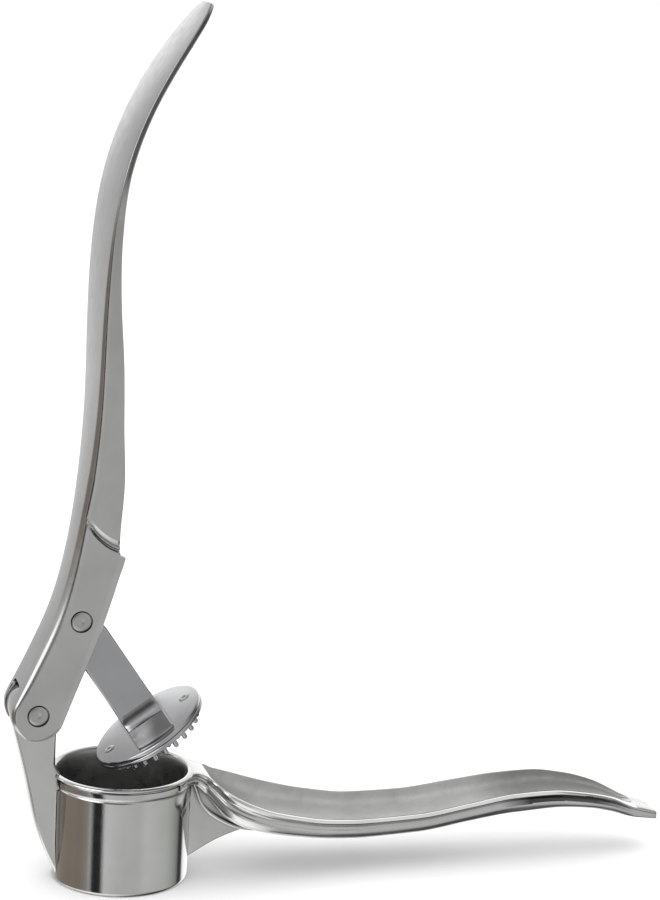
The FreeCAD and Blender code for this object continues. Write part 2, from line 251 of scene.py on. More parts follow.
def combine(body, tool, how):
    """body with tool joined to it or cut out of it; the tool is used up."""
    change = body.modifiers.new("combine", "BOOLEAN")
    change.operation = how
    change.solver = "EXACT"
    change.object = tool
    depsgraph = bpy.context.evaluated_depsgraph_get()
    mesh = bpy.data.meshes.new_from_object(body.evaluated_get(depsgraph))
    body.modifiers.clear()
    body.data = mesh
    bpy.data.objects.remove(tool)
    return body


def soften(obj, degrees=32):
    """Smooth shading, with edges sharper than degrees kept."""
    work = bmesh.new()
    work.from_mesh(obj.data)
    bmesh.ops.dissolve_degenerate(work, edges=work.edges, dist=1e-7)
    limit = math.radians(degrees)
    for face in work.faces:
        face.smooth = True
    for edge in work.edges:
        edge.smooth = edge.calc_face_angle(0) < limit
    work.to_mesh(obj.data)
    work.free()
    return obj


# ---------------------------------------------------------------- lower casting

def cup_outside():
    """The cup with its foot edge, wall and grooved lip, still solid."""
    profile = [(0, 0), (16.5, 0), (16.8, 0.06), (17.05, 0.3), (CUP_RADIUS, 0.75), (CUP_RADIUS, 1.1),
               (CUP_RADIUS, 12.0), (CUP_RADIUS, 23.9), (CUP_RADIUS, 24.2), (17.1, 24.45), (17.0, 24.6),
               (17.05, 24.75), (17.35, 24.9), (17.65, 25.1), (17.75, 25.4), (17.75, 26.5), (17.7, 26.75),
               (17.45, 26.9), (17.4, 27.05), (17.5, 27.2), (17.85, 27.3), (18.1, 27.45), (18.15, 27.65),
               (18.05, 27.85), (17.8, 27.97), (17.45, CUP_HEIGHT), (0, CUP_HEIGHT)]
    return lathe("lower_casting_body", profile, CUP_STEPS)


def cup_inside():
    """The room in the cup, to be cut out."""
    profile = [(0, -2), (LEDGE_RADIUS + 0.3, -2), (LEDGE_RADIUS + 0.3, 0), (LEDGE_RADIUS, 0.3),
               (LEDGE_RADIUS, LEDGE_TOP), (BORE_RADIUS, LEDGE_TOP), (BORE_RADIUS, 25.2), (16.25, 26.8),
               (16.45, 27.6), (MOUTH_RADIUS, 27.85), (16.9, 28.02), (16.9, 40), (0, 40)]
    return lathe("cup_inside", profile, CUP_STEPS)


def hinge_post():
    """The lug behind the cup, with rounded edges."""
    crown = arc(PIVOT, POST_TOP_RADIUS, 186, -30, 40)
    front = [(-17.65, 36), (-17.65, 31), (-17.3, 29.4), (-16.4, 28.2), (-15.0, 27.6), (-13.5, 27.0),
             (-13.5, 2.0)]
    back = spline([(-16.2, 0.9), (-20.6, 10.5), (-24.0, 24.0), tuple(crown[0])], 26)[:-1]
    outline = np.concatenate([crown, np.array(front, float), back])
    return plate("hinge_post", outline, POST_HALF, 0.7)


def corner_fillet(name, side, half, outwards, reach_at):
    """A concave strip up the cup's wall where a flat plate meets it; reach_at is (height, reach) pairs."""
    radius = CUP_RADIUS - 0.05
    corner = math.asin(half / radius)
    rings = []
    for z, reach in reach_at:
        foot = (radius * math.cos(corner) + reach, half - 0.05)
        wall_angle = corner + reach / radius
        wall = (radius * math.cos(wall_angle), radius * math.sin(wall_angle))
        knee = (radius * math.cos(corner), half)
        ring = []
        for t in np.linspace(0, 1, 9):
            weights = (1 - t) ** 2, 2 * t * (1 - t), t * t
            ring.append([sum(w * p[k] for w, p in zip(weights, (foot, knee, wall))) for k in (0, 1)])
        ring.append((wall[0] - 0.7, wall[1] - 0.5))
        ring.append((knee[0] - 0.9, half - 0.9))
        ring.append((foot[0] - 0.2, half - 0.9))
        rings.append([(outwards * x, side * y, z) for x, y in ring])
    return skin(name, rings)


def tray_ring(x):
    """A section across the fixed handle at x: tray, rim bead, groove, lower bead and belly, closed."""
    tables = (RIM, DEPTH, HALF, TRAY_DEPTH, TRAY_HALF, GROOVE_AT)
    rim, depth, half, tray, tray_half, groove = (value_at(t, x) for t in tables)
    turn = np.radians(np.linspace(0, 90, 15))
    side = np.c_[tray_half * np.sin(turn) ** 0.5, -tray * np.cos(turn) ** 0.5 - 0.02]
    wide = half - tray_half
    lip = min(0.35, 0.3 * tray)
    blunt = float(np.clip((x - 126) / 12, 0, 1))
    slope = 0.10 * depth if tray > 0.05 else 0.5
    bead = [(tray_half + 0.01 * wide, -lip), (tray_half + 0.10 * wide, -0.2 * lip),
            (tray_half + 0.30 * wide, -0.02), (tray_half + 0.55 * wide, -0.05 * slope),
            (tray_half + 0.85 * wide, -0.40 * slope), (half, -slope)]
    if tray < 0.05:
        bead[:3] = [(tray_half + 0.02 * wide, 0.0), (tray_half + 0.3 * wide, 0.0), (half - 0.7, -0.02)]
        bead[3:5] = [(half - 0.35, -0.10), (half - 0.10, -0.26)]
    cut = min(0.75, 0.13 * depth) * (1 - 0.7 * blunt)
    square = 1 - blunt
    below_bead = [(0.8, -0.06), (1.0, 0.0), (0.8, 0.07), (0.25, 0.14), (0.1, 0.19), (0.2, 0.27), (0.5, 0.35)]
    curve = [(half, -slope), (half - 0.12 * cut, -slope - 0.2 * (groove * depth - slope))]
    curve += [(half - share * cut, -(groove + down) * depth) for share, down in below_bead]
    curve += [((1 - 0.09 * square) * half - 0.5 * cut * blunt, -0.80 * depth),
              ((0.95 - 0.17 * square) * half, -0.90 * depth), ((0.8 - 0.24 * square) * half, -0.96 * depth),
              (0.36 * half, -0.985 * depth), (0.0, -depth)]
    outer = spline(curve, 64)[1:]
    half_ring = np.concatenate([side, bead, outer])
    other = half_ring[1:-1][::-1] * (-1, 1)
    ring = np.concatenate([half_ring, other])
    return np.c_[np.full(len(ring), x), ring[:, 0], rim + ring[:, 1]]


def fixed_handle():
    """Neck and fixed handle in one sweep, from inside the cup's wall to the blunt tip."""
    along = np.concatenate([np.linspace(12, 34, 60), np.linspace(34.8, 144.3, 148)])
    rings = [tray_ring(x) for x in along]
    for step, shrink in ((144.7, 0.97), (144.9, 0.92), (144.97, 0.82)):
        ring = tray_ring(step)
        middle = ring.mean(axis=0)
        rings.append(middle + (ring - middle) * (1, shrink, shrink))
    return skin("fixed_handle", rings)


def gusset():
    """The thin web under the neck."""
    low = spline([(15.6, 3.0), (19.5, 5.3), (24.1, 7.9), (31.0, 10.5), (36.5, 12.2)], 24)
    top = spline([(36.0, 13.6), (30.0, 15.4), (24.0, 19.0), (20.0, 24.0), (15.6, 25.2)], 16)
    return plate("gusset", np.concatenate([low, top]), GUSSET_HALF, 0.35)


def gusset_edge():
    """The bright bead where the handle's underside runs out over the gusset, both sides."""
    line = spline([(17.2, 25.4), (18.5, 22.4), (19.8, 18.9), (21.8, 16.4), (25.0, 14.0), (27.6, 12.6),
                   (30.5, 11.5), (34.0, 10.9)], 48)
    along = np.gradient(line, axis=0)
    along /= np.linalg.norm(along, axis=1)[:, None]
    rings = []
    for (x, z), (tx, tz) in zip(line, along):
        ring = []
        for a in np.linspace(0, 2 * math.pi, 32, endpoint=False):
            reach = 0.6 * math.sin(a)
            wide = 3.6 * math.copysign(abs(math.cos(a)) ** 0.3, math.cos(a))
            ring.append((x - tz * reach, wide, z + tx * reach))
        rings.append(ring)
    return skin("gusset_edge", rings)


def lower_casting():
    """Cup, post, handle, gusset and fillets in one solid, with the cup hollowed out."""
    body = cup_outside()
    combine(body, hinge_post(), "UNION")
    combine(body, fixed_handle(), "UNION")
    combine(body, gusset(), "UNION")
    combine(body, gusset_edge(), "UNION")
    for side in (-1, 1):
        combine(body, corner_fillet("post_fillet", side, POST_HALF, -1, POST_FILLET), "UNION")
        combine(body, corner_fillet("gusset_fillet", side, GUSSET_HALF, 1, GUSSET_FILLET), "UNION")
    combine(body, cup_inside(), "DIFFERENCE")
    soften(body)
    return body


# ---------------------------------------------------------------- lever

def lever_ring(origin, inward, v0, v1, z, tongue):
    """A closed section across the lever: origin on its back line, inward towards its front."""
    tables = (LEVER_HALF, WALL, CHANNEL_DEPTH, CORNER, BEVEL, CROWN)
    half, wall, channel, corner, bevel, crown = (value_at(t, z) for t in tables)
    depth = v1 - v0
    floor = max(v1 - channel, v0 + min(2.0, 0.5 * depth))
    if z > 176:
        floor = v1
    corner = min(corner, 0.42 * depth, 0.4 * half)
    bevel = min(bevel, 0.3 * depth)
    across = np.linspace(0, 1, 8)
    back = np.c_[(half - corner) * across, v0 - crown * (1 - across ** 2)]
    turn = np.radians(np.linspace(0, 90, 11))[1:]
    edge = np.c_[half - corner + corner * np.sin(turn), v0 + corner * (1 - np.cos(turn))]
    face = np.linspace(v0 + corner, v1 - bevel, 32)[1:]
    lean = 1.0 * tongue * (face - v0 - corner)
    side = np.c_[half - lean, face]
    rest = half - lean[-1]
    drop = 0.2 * bevel
    rim = min(0.35, 0.3 * bevel + 0.1)
    front = [(rest - 0.5 * drop, v1 - 0.62 * bevel), (rest - drop, v1 - rim),
             (rest - drop - 0.12 * rim, v1 - 0.4 * rim), (rest - drop - 0.45 * rim, v1 - 0.1 * rim),
             (rest - drop - rim, v1)]
    inner = half - wall
    deep = v1 - floor
    round_in = min(0.4, 0.3 * deep)
    fill = min(0.8, 0.6 * deep)
    inside = [(inner + round_in, v1), (inner + 0.3 * round_in, v1 - 0.3 * round_in), (inner, v1 - round_in),
              (inner, floor + fill), (inner - 0.3 * fill, floor + 0.3 * fill), (inner - fill, floor)]
    base = np.c_[(inner - fill) * np.linspace(1, 0, 5)[1:], np.full(4, floor)]
    ring = np.concatenate([back, edge, side, front, inside, base])
    ring = np.concatenate([ring, ring[1:-1][::-1] * (-1, 1)])
    ox, oz = origin
    ix, iz = inward
    return np.c_[ox + ix * ring[:, 1], ring[:, 0], oz + iz * ring[:, 1]]


def lever_rings():
    """Sections from the rounded heel, round the main pivot, to the blunt tip of the tongue."""
    line = spline(BACK, 1600)
    along = np.gradient(line, axis=0)
    along /= np.linalg.norm(along, axis=1)[:, None]
    inward = np.c_[along[:, 1], -along[:, 0]]
    rings = []
    for a in np.radians(np.linspace(86, 5, 20)):
        drop = HEEL_RADIUS * math.sin(a)
        reach = HEEL_RADIUS * math.cos(a)
        origin = line[0] - along[0] * drop
        rings.append(lever_ring(origin, inward[0], HEEL_RADIUS - reach, HEEL_RADIUS + reach, 47.4, 0.0))
    last = -9
    for i, (place, across) in enumerate(zip(line, inward)):
        z = place[1]
        fine = 83 < z < 100
        if i - last < (1 if fine else 4) and i < len(line) - 1:
            continue
        last = i
        depth = value_at(LEVER_DEPTH, z)
        tongue = float(np.clip((z - 166) / 12, 0, 1))
        rings.append(lever_ring(place, across, 0.0, depth, z, tongue))
    end = np.array(rings[-1])
    middle = end.mean(axis=0)
    for grow, reach in ((0.97, 0.12), (0.9, 0.2)):
        shift = np.array([along[-1][0], 0, along[-1][1]]) * reach
        rings.append(middle + (end - middle) * grow + shift)
    return np.array(rings)


def shoulder_step(rings):
    """Where the fork's cheeks end: a curved step and two fine ridges across the side faces."""
    curve = spline(SHOULDER, 80)
    flat = rings.reshape(-1, 3)
    near = (np.abs(flat[:, 1]) > 6.9) & (flat[:, 2] > 82) & (flat[:, 2] < 104) & (flat[:, 0] > -14.2)
    profile_at, profile_cut = zip(*SHOULDER_CUT)
    for i in np.nonzero(near)[0]:
        x, y, z = flat[i]
        gap = z - np.interp(x, curve[:, 0], curve[:, 1])
        fade = float(np.clip((x + 12.6) / 2.4, 0, 1))
        cut = fade * np.interp(gap, profile_at, profile_cut)
        flat[i, 1] = y - math.copysign(cut, y)
    return flat.reshape(rings.shape)


def pin_seats(centre):
    """Cutters for two shallow round seats, one in each cheek."""
    seats = []
    for side in (-1, 1):
        ring = arc(centre, PIN_RADIUS + SEAT_CLEARANCE, 0, 352.5, 48)
        start = side * (FORK_HALF - SEAT_DEPTH)
        stop = side * (FORK_HALF + 3)
        rings = [np.c_[ring[:, 0], np.full(48, y), ring[:, 1]] for y in (start, stop)]
        seats.append(skin("seat", rings))
    return seats


def lever():
    """The lever with its shoulder step, the slot through the fork's back, and seats round the pins."""
    body = skin("lever_body", shoulder_step(lever_rings()))
    slot = np.concatenate([[(-GAP_HALF, 30.0), (GAP_HALF, 30.0)],
                           arc((GAP_HALF - 2, SLOT_TOP - 2), 2, 0, 90, 8),
                           arc((2 - GAP_HALF, SLOT_TOP - 2), 2, 90, 180, 8)])
    rings = [np.c_[np.full(len(slot), x), slot[:, 0], slot[:, 1]] for x in (-40, -8)]
    combine(body, skin("slot", rings), "DIFFERENCE")
    for centre in (PIVOT, PLUNGER_PIN):
        for seat in pin_seats(centre):
            combine(body, seat, "DIFFERENCE")
    return soften(body)


def pin(name, centre):
    """A cross pin with chamfered, slightly domed ends that carry a shallow centre mark."""
    end = FORK_HALF
    profile = [(0, -end + 0.16), (0.45, -end + 0.1), (0.7, -end), (1.6, -end + 0.02), (2.1, -end + 0.07),
               (2.36, -end + 0.2), (2.42, -end + 0.5), (2.42, 0.0)]
    profile = profile + [(r, -z) for r, z in reversed(profile[:-1])]
    obj = lathe(name, profile, 64)
    obj.data.transform(Matrix.Rotation(math.pi / 2, 4, "X"))
    obj.data.transform(Matrix.Translation(Vector((centre[0], 0, centre[1])) * MM))
    return soften(obj)


# ---------------------------------------------------------------- plunger

def hang(obj):
    """Moves a piece from the plunger's frame, pin at the origin and arm down, to its place."""
    turn = Matrix.Rotation(-TILT, 4, "Y")
    move = Matrix.Translation(Vector((PLUNGER_PIN[0], 0, PLUNGER_PIN[1])) * MM)
    obj.data.transform(move @ turn)
    return obj


def shift(obj, x, z):
    """Moves a piece across and up by millimetres."""
    obj.data.transform(Matrix.Translation(Vector((x, 0, z)) * MM))
    return obj


def arm_bar():
    """The flat bar with its round eye."""
    left = ARM_SHIFT - ARM_HALF_WIDTH
    right = ARM_SHIFT + ARM_HALF_WIDTH
    eye = arc((0, 0), EYE_RADIUS, -12, 192, 24)
    low = -ARM_LENGTH - 0.3
    outline = np.concatenate([eye, [(left + 0.9, -4.6), (left + 0.15, -6.6), (left, -8.0), (left, low),
                                    (right, low), (right, -6.6), (right - 0.15, -5.4)]])
    return plate("plunger_arm_body", outline, ARM_HALF, 0.75, 5)


def arm_foot():
    """The flared foot: a concave turn from the bar to a crisp line, then a crowned panel to the rim."""
    base = -ARM_LENGTH
    near = spline([(-3.3, base + 8.0), (-3.62, base + 6.6), (-3.9, base + 5.4), (-4.7, base + 4.0),
                   (-5.7, base + 3.2)], 16)
    panel = spline([(-6.0, base + 3.0), (-8.2, base + 2.2), (-10.4, base + 1.4), (-12.4, base + 0.7)], 14)
    half_outline = np.concatenate([near, panel, [(-12.55, base + 0.45), (-12.55, base - 0.3)]])
    outline = np.concatenate([half_outline, half_outline[::-1] * (-1, 1)])
    half = ARM_HALF_WIDTH + 0.05
    edge = 0.45
    turn = np.radians(np.linspace(0, 90, 5))
    stations = [(-half + edge - edge * math.cos(a), edge * (1 - math.sin(a))) for a in turn]
    stations += [(x, 0.0) for x in np.linspace(-half + edge, half - edge, 9)[1:-1]]
    stations += [(half - edge + edge * math.cos(a), edge * (1 - math.sin(a))) for a in turn[::-1]]
    rings = []
    for x, draw_in in stations:
        shape = inset(outline, draw_in)
        low = np.clip((base + 3.4 - shape[:, 1]) / 1.2, 0, 1) * (np.abs(shape[:, 0]) < 12.6)
        shape[:, 0] *= 1 - 0.08 * low * (x / half) ** 2
        rings.append(np.c_[np.full(len(shape), ARM_SHIFT + x), shape])
    return skin("arm_foot", rings)


def head_disc(name, top):
    """A head plate with rounded rim."""
    r = HEAD_RADIUS
    low = top - HEAD_PLATE
    profile = [(0, top), (r - 0.5, top), (r - 0.2, top - 0.06), (r - 0.04, top - 0.22), (r, top - 0.45),
               (r, low + 0.4), (r - 0.08, low + 0.15), (r - 0.3, low), (0, low)]
    return shift(lathe(name, profile, 160), ARM_SHIFT, 0)


def plunger_arm():
    """Bar, foot and upper head plate in one solid."""
    body = arm_bar()
    combine(body, arm_foot(), "UNION")
    combine(body, head_disc("upper_head", -ARM_LENGTH), "UNION")
    return soften(hang(body))


def studs(top):
    """All the studs, as separate shells in one mesh."""
    around = np.linspace(0, 2 * math.pi, 16, endpoint=False)
    places, faces = [], []
    profile = [(STUD_RADIUS + 0.3, 0.25), (STUD_RADIUS + 0.12, -0.1), (STUD_RADIUS, -0.4)]
    for a in np.linspace(0, math.pi / 2, 6)[:-1]:
        profile.append((STUD_RADIUS * math.cos(a), -STUD_LENGTH + STUD_RADIUS * (1 - math.sin(a))))
    for ring in range(STUD_RINGS + 1):
        for step in range(max(6 * ring, 1)):
            angle = 2 * math.pi * step / max(6 * ring, 1)
            cx = ARM_SHIFT + ring * STUD_PITCH * math.cos(angle)
            cy = ring * STUD_PITCH * math.sin(angle)
            first = len(places)
            for r, z in profile:
                places.extend((cx + r * math.cos(a), cy + r * math.sin(a), top + z) for a in around)
            n = len(around)
            for i in range(len(profile) - 1):
                for j in range(n):
                    k = (j + 1) % n
                    a, b = first + i * n, first + (i + 1) * n
                    faces.append((a + j, a + k, b + k, b + j))
            faces.append(tuple(first + j for j in range(n)))
            faces.append(tuple(first + (len(profile) - 1) * n + j for j in range(n)))
    return make_mesh("studs", places, faces)


def stud_plate():
    """The lower head plate with its studs."""
    top = -ARM_LENGTH - HEAD_PLATE
    body = head_disc("stud_plate_body", top - 0.02)
    combine(body, studs(top - HEAD_PLATE), "UNION")
    return soften(hang(body))


def rivet(name, x):
    """A low domed head with a small round centre dimple, standing on the upper head plate."""
    top = -ARM_LENGTH
    profile = [(0, -1.9), (1.05, -1.9), (1.05, -0.1), (1.5, -0.1), (1.52, 0.03), (1.35, 0.17), (1.0, 0.28),
               (0.62, 0.32), (0.5, 0.28), (0.38, 0.05), (0, 0.0)]
    obj = lathe(name, profile, 40)
    shift(obj, ARM_SHIFT + x, top)
    return soften(hang(obj))


# ---------------------------------------------------------------- materials

def node(tree, kind, **values):
    """A shader node with its settings and unlinked inputs set by name."""
    made = tree.nodes.new(kind)
    for name, value in values.items():
        if name in made.inputs:
            made.inputs[name].default_value = value
        else:
            setattr(made, name, value)
    return made


def noise(tree, where, scale, detail=3.0):
    """Noise over the object's own coordinates, as a value from 0 to 1."""
    made = node(tree, "ShaderNodeTexNoise", Scale=scale, Detail=detail)
    tree.links.new(where, made.inputs["Vector"])
    return made.outputs["Fac"]


def ramp(tree, value, stops):
    """A colour ramp over value, with (place, colour) stops."""
    made = tree.nodes.new("ShaderNodeValToRGB")
    band = made.color_ramp
    while len(band.elements) < len(stops):
        band.elements.new(0.5)
    for element, (place, colour) in zip(band.elements, stops):
        element.position = place
        element.color = (*colour, 1.0)
    tree.links.new(value, made.inputs["Fac"])
    return made.outputs["Color"]


def grey(level, tint=(1.0, 1.0, 1.0)):
    """A level of brightness as a colour."""
    return tuple(level * t for t in tint)


def multiplied(tree, first, second):
    """The product of two colours."""
    made = node(tree, "ShaderNodeMix", data_type="RGBA", blend_type="MULTIPLY")
    made.inputs[0].default_value = 1.0
    tree.links.new(first, made.inputs[6])
    tree.links.new(second, made.inputs[7])
    return made.outputs[2]


def shaded(tree, where, colour, axis, start, end, stops):
    """colour darkened along an axis as painted shade, by (share of the way from start to end in mm, factor)
    stops.
    """
    split = tree.nodes.new("ShaderNodeSeparateXYZ")
    tree.links.new(where, split.inputs["Vector"])
    share = node(tree, "ShaderNodeMapRange")
    share.inputs["From Min"].default_value = start * MM
    share.inputs["From Max"].default_value = end * MM
    tree.links.new(split.outputs[axis], share.inputs["Value"])
    return multiplied(tree, colour, ramp(tree, share.outputs["Result"], [(p, grey(f)) for p, f in stops]))


def cast_metal(name, level, rough, grain, tint=(1.0, 1.0, 0.985), grime_and_shade=0.35, shade=None):
    """Polished cast metal: cloudy colour, uneven gloss, fine grain, darkening where surfaces nearly meet that
    is partly soiling and partly painted shade, and, when given, painted shade along an axis.
    """
    material = bpy.data.materials.new(name)
    material.use_nodes = True
    tree = material.node_tree
    tree.nodes.clear()
    out = tree.nodes.new("ShaderNodeOutputMaterial")
    shader = node(tree, "ShaderNodeBsdfPrincipled", Metallic=1.0)
    where = tree.nodes.new("ShaderNodeTexCoord").outputs["Object"]
    clouds = noise(tree, where, 90.0, 5.0)
    colour = ramp(tree, clouds, [(0.30, grey(level * 0.93, tint)), (0.52, grey(level, tint)),
                                 (0.72, grey(level * 1.05, tint))])
    # Ambient occlusion darkens the colour where surfaces nearly meet: partly real soiling, partly painted shade
    # in creases and under parts.
    nearness = node(tree, "ShaderNodeAmbientOcclusion", samples=6, Distance=0.0014)
    crevice_darkening = ramp(tree, nearness.outputs["AO"], [(0.25, grey(grime_and_shade)), (0.75, grey(1.0))])
    colour = multiplied(tree, colour, crevice_darkening)
    # Painted shade along an axis, when given.
    if shade:
        colour = shaded(tree, where, colour, *shade)
    tree.links.new(colour, shader.inputs["Base Color"])
    patches = noise(tree, where, 420.0, 4.0)
    gloss = ramp(tree, patches, [(0.3, grey(rough * 0.8)), (0.7, grey(rough * 1.25))])
    tree.links.new(gloss, shader.inputs["Roughness"])
    fine = noise(tree, where, 2600.0, 2.0)
    bump = node(tree, "ShaderNodeBump", Strength=grain, Distance=0.00004)
    tree.links.new(fine, bump.inputs["Height"])
    tree.links.new(bump.outputs["Normal"], shader.inputs["Normal"])
    tree.links.new(shader.outputs["BSDF"], out.inputs["Surface"])
    return material


def second_material(obj, material, wanted):
    """Gives another material to the faces whose middle and normal, in millimetres, are wanted."""
    obj.data.materials.append(material)
    last = len(obj.data.materials) - 1
    for face in obj.data.polygons:
        if wanted(face.center / MM, face.normal):
            face.material_index = last


def in_tray(middle, normal):
    """Whether a face of the lower casting lies inside the handle's tray."""
    if not 21.4 < middle.x < 136.6:
        return False
    rim, tray, half = (value_at(t, middle.x) for t in (RIM, TRAY_DEPTH, TRAY_HALF))
    return abs(middle.y) < half + 0.02 and rim - tray - 0.2 < middle.z < rim - 0.06 and normal.z > -0.2


def side_share(middle):
    """How far down the handle's side a face lies, from 0 at the rim to 1, or -1 away from the side."""
    rim, depth, half = (value_at(t, middle.x) for t in (RIM, DEPTH, HALF))
    return (rim - middle.z) / depth if abs(middle.y) > half - 1.25 else -1.0


def on_handle(middle, normal):
    """Whether a face of the lower casting lies on the fixed handle, away from the neck and gusset."""
    return middle.x > 19.5 and (abs(middle.y) > 3.8 or middle.x > 38)


def on_panel(middle, normal):
    """Whether a face of the plunger arm lies on the foot's sloping panel, near side or far."""
    right, up = middle.x - PLUNGER_PIN[0], middle.z - PLUNGER_PIN[1]
    across = right * math.cos(TILT) + up * math.sin(TILT) - ARM_SHIFT
    along = up * math.cos(TILT) - right * math.sin(TILT) + ARM_LENGTH
    return abs(across) < ARM_HALF_WIDTH - 0.2 and 0.5 < along < 3.0 and 5.9 < abs(middle.y) < 12.45


def on_rim(middle, normal):
    """Whether a face of the lower casting lies on the bead round the tray."""
    return 24.5 < middle.x < 138 and 0.0 <= side_share(middle) < 0.105


def in_groove(middle, normal):
    """Whether a face of the lower casting lies in the groove along the handle's far half."""
    return 98 < middle.x < 137 and 0.12 < side_share(middle) < 0.46


def in_bore(middle, normal):
    """Whether a face of the lower casting lies inside the cup."""
    away = math.hypot(middle.x, middle.y)
    return away < 16.35 and middle.z < 27.2 and normal.z > -0.5


def dress(obj, material, slot, body, *nodes):
    """Gives a new piece its material, the body it rides on and the CAD nodes it stands for; slot is not used.
    """
    obj.data.materials.clear()
    obj.data.materials.append(material)
    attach(obj, body)
    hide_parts(*nodes)


# ---------------------------------------------------------------- studio

def make_camera():
    """The camera, at the fitted viewing angle, distance and roll."""
    azimuth, elevation, roll = (math.radians(a) for a in (CAMERA_AZIMUTH, CAMERA_ELEVATION, CAMERA_ROLL))
    distance = CAMERA_DISTANCE * MM
    target = Vector(CAMERA_TARGET) * MM
    back = Vector((-math.sin(azimuth) * math.cos(elevation), -math.cos(azimuth) * math.cos(elevation),
                   math.sin(elevation)))
    right = Vector((math.cos(azimuth), -math.sin(azimuth), 0))
    up = right.cross(-back)
    side = math.cos(roll) * right + math.sin(roll) * up
    top = -math.sin(roll) * right + math.cos(roll) * up
    data = bpy.data.cameras.new("camera")
    data.lens = CAMERA_LENS
    data.sensor_width = 36.0
    data.clip_start = 0.01
    data.clip_end = 60.0
    camera = bpy.data.objects.new("camera", data)
    turn = Matrix((side, top, back)).transposed().to_4x4()
    camera.matrix_world = Matrix.Translation(target + back * distance) @ turn
    bpy.context.scene.collection.objects.link(camera)
    bpy.context.scene.camera = camera


def make_light(name, place, aim, size, power):
    """A soft area light, left out of what the metal reflects."""
    data = bpy.data.lights.new(name, "AREA")
    data.shape = "RECTANGLE"
    data.size, data.size_y = size
    data.energy = power
    light = bpy.data.objects.new(name, data)
    light.location = place
    light.rotation_mode = "QUATERNION"
    light.visible_glossy = False
    light.rotation_quaternion = (Vector(aim) - Vector(place)).to_track_quat("-Z", "Y")
    bpy.context.scene.collection.objects.link(light)


def make_world():
    """A soft studio: greys by direction for the metal to reflect, and an even white for all other light."""
    world = bpy.data.worlds.new("studio")
    bpy.context.scene.world = world
    world.use_nodes = True
    tree = world.node_tree
    tree.nodes.clear()
    out = tree.nodes.new("ShaderNodeOutputWorld")
    where = tree.nodes.new("ShaderNodeTexCoord").outputs["Generated"]
    split = tree.nodes.new("ShaderNodeSeparateXYZ")
    tree.links.new(where, split.inputs["Vector"])
    turn = node(tree, "ShaderNodeMath", operation="ARCTAN2")
    tree.links.new(split.outputs["Y"], turn.inputs[0])
    tree.links.new(split.outputs["X"], turn.inputs[1])
    share = node(tree, "ShaderNodeMapRange")
    share.inputs["From Min"].default_value = -math.pi
    share.inputs["From Max"].default_value = math.pi
    tree.links.new(turn.outputs[0], share.inputs["Value"])
    height = rescale(tree, split.outputs["Z"])
    below, level, above = (ramp(tree, share.outputs["Result"], t) for t in (BELOW, LEVEL, ABOVE))
    colour = blend_by(tree, ramp(tree, height, [(0.16, grey(0.0)), (0.24, grey(1.0))]), below, level)
    colour = blend_by(tree, ramp(tree, height, [(0.46, grey(0.0)), (0.54, grey(1.0))]), colour, above)
    top = node(tree, "ShaderNodeRGB")
    top.outputs[0].default_value = (*grey(TOP), 1.0)
    colour = blend_by(tree, ramp(tree, height, [(0.66, grey(0.0)), (0.86, grey(1.0))]), colour, top.outputs[0])
    for direction, reach, strength in PATCHES:
        colour = add_patch(tree, where, colour, direction, reach, strength)
    mirror = tree.nodes.new("ShaderNodeBackground")
    tree.links.new(colour, mirror.inputs["Color"])
    plain = tree.nodes.new("ShaderNodeBackground")
    plain.inputs["Color"].default_value = (*grey(1.0), 1.0)
    plain.inputs["Strength"].default_value = 1.2
    ray = tree.nodes.new("ShaderNodeLightPath")
    choose = tree.nodes.new("ShaderNodeMixShader")
    tree.links.new(ray.outputs["Is Glossy Ray"], choose.inputs[0])
    tree.links.new(plain.outputs["Background"], choose.inputs[1])
    tree.links.new(mirror.outputs["Background"], choose.inputs[2])
    tree.links.new(choose.outputs["Shader"], out.inputs["Surface"])


def blend_by(tree, amount, first, second):
    """first where amount is 0, second where it is 1."""
    made = node(tree, "ShaderNodeMix", data_type="RGBA")
    tree.links.new(amount, made.inputs[0])
    tree.links.new(first, made.inputs[6])
    tree.links.new(second, made.inputs[7])
    return made.outputs[2]


def add_patch(tree, where, colour, direction, reach, strength):
    """A soft-edged panel of the given brightness round a direction; reach is in degrees."""
    closeness = node(tree, "ShaderNodeVectorMath", operation="DOT_PRODUCT")
    closeness.inputs[1].default_value = Vector(direction).normalized()
    tree.links.new(where, closeness.inputs[0])
    spread = node(tree, "ShaderNodeMapRange", interpolation_type="SMOOTHSTEP")
    spread.inputs["From Min"].default_value = math.cos(math.radians(reach))
    spread.inputs["From Max"].default_value = math.cos(math.radians(reach * 0.55))
    tree.links.new(closeness.outputs["Value"], spread.inputs["Value"])
    panel = node(tree, "ShaderNodeRGB")
    panel.outputs[0].default_value = (*grey(strength), 1.0)
    return blend_by(tree, spread.outputs["Result"], colour, panel.outputs[0])


def rescale(tree, value):
    """A direction's z, from -1..1 to 0..1."""
    made = node(tree, "ShaderNodeMapRange")
    made.inputs["From Min"].default_value = -1.0
    tree.links.new(value, made.inputs["Value"])
    return made.outputs["Result"]


def turn_share(degrees):
    """Where a direction lies on an all-round ramp: degrees from straight back to the camera, to its right."""
    azimuth = math.radians(-90 - CAMERA_AZIMUTH + degrees)
    azimuth = (azimuth + math.pi) % (2 * math.pi) - math.pi
    return (azimuth + math.pi) / (2 * math.pi)


def all_round(stops):
    """(degrees, colour) stops as stops of an all-round ramp."""
    return sorted((turn_share(d), c) for d, c in stops)


